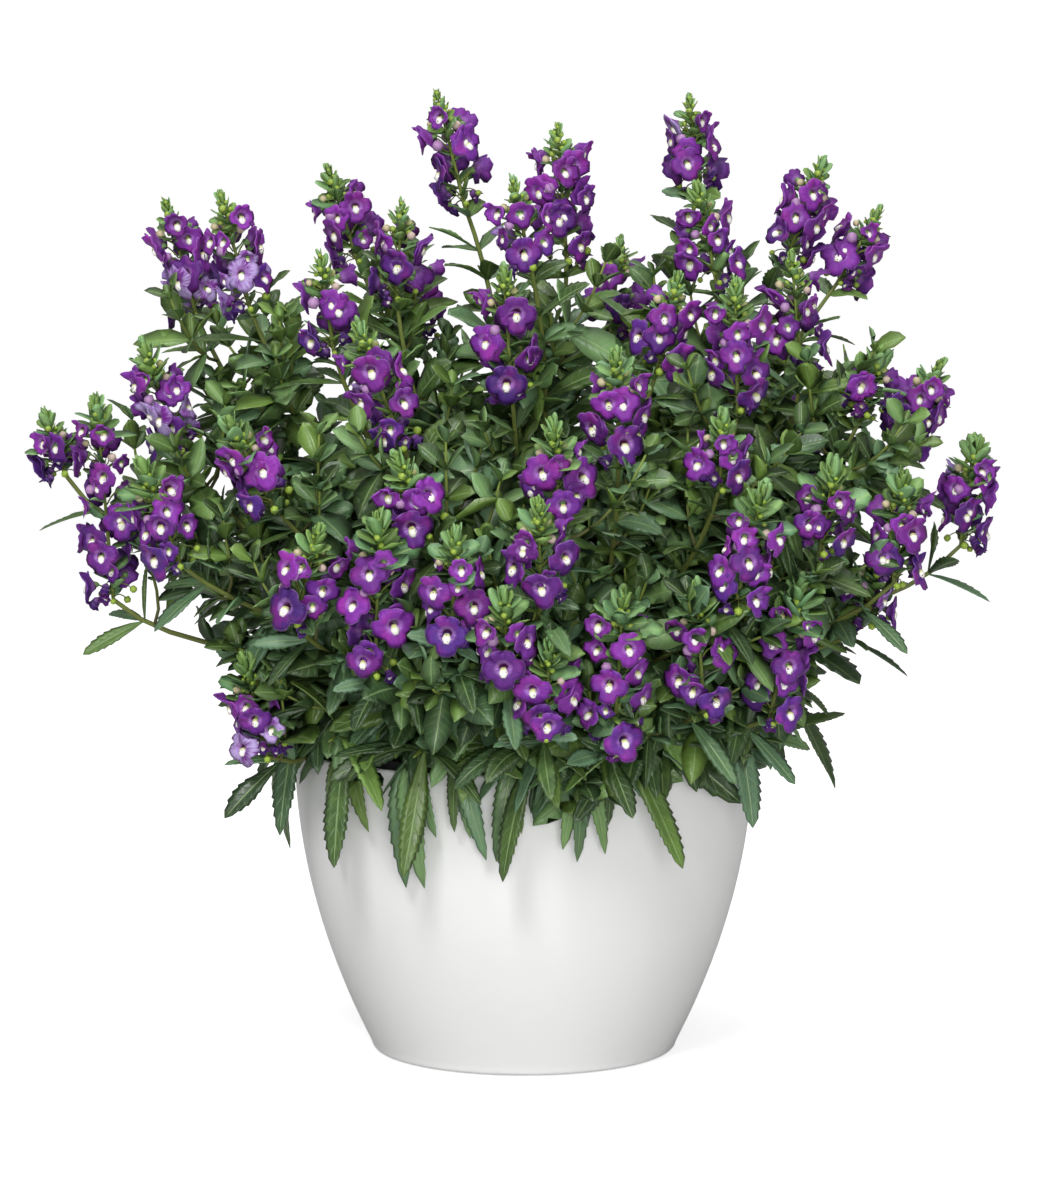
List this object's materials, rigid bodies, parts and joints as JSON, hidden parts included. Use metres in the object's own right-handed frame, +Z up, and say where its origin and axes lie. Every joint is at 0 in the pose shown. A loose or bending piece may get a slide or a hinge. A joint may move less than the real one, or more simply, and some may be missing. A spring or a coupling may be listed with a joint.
{
  "type": "potted angelonia",
  "caption": "Bushy angelonia plant in flower, with upright purple flower spikes over toothed green leaves, in a black grow pot inside a round white cover pot.",
  "frame": {"origin": "centre of the cover pot's flat base, at the surface that it stands on", "axes": "+Z up along the pot's axis; -Y is the side that the picture shows; +X to the right in that view"},
  "size_m": [0.4841, 0.3914, 0.476],
  "materials": {
    "pot_white": "smooth satin white plastic with a soft sheen, bare of any print",
    "grow_pot_black": "thin matt black nursery pot plastic with faint vertical flow marks",
    "soil": "damp dark brown potting mix of peat crumbs and fibres",
    "foliage": "fresh dark green leaves with a soft sheen, paler midribs and yellow-green stems",
    "petals": "velvety violet-purple petals with a pale lavender ring, dark throat and white boss"
  },
  "bodies": {
    "root": {"cover_pot": "pot_white", "grow_pot": "grow_pot_black", "potting_soil": "soil", "stems_centre": "foliage", "stems_left": "foliage", "stems_front_left": "foliage", "stems_front_right": "foliage", "stems_right": "foliage", "stems_back": "foliage", "flowers_01": "petals", "flowers_02": "petals", "flowers_03": "petals", "flowers_04": "petals", "flowers_05": "petals", "flowers_06": "petals", "flowers_07": "petals", "flowers_08": "petals", "flowers_09": "petals", "flowers_10": "petals", "flowers_11": "petals", "flowers_12": "petals", "flowers_13": "petals", "flowers_14": "petals", "flowers_15": "petals", "flowers_16": "petals", "flowers_17": "petals", "flowers_18": "petals", "flowers_19": "petals", "flowers_20": "petals", "flowers_21": "petals", "flowers_22": "petals", "flowers_23": "petals", "flowers_24": "petals", "flowers_25": "petals", "flowers_26": "petals", "flowers_27": "petals", "flowers_28": "petals", "flowers_29": "petals", "flowers_30": "petals", "flowers_31": "petals", "flowers_32": "petals", "flowers_33": "petals", "flowers_34": "petals", "flowers_35": "petals", "flowers_36": "petals", "flowers_37": "petals", "flowers_38": "petals", "flowers_39": "petals", "flowers_40": "petals", "flowers_41": "petals", "flowers_42": "petals", "flowers_43": "petals", "flowers_44": "petals", "flowers_45": "petals", "flowers_46": "petals", "flowers_47": "petals", "flowers_48": "petals", "flowers_49": "petals", "flowers_50": "petals", "flowers_51": "petals"}
  },
  "joints": []
}
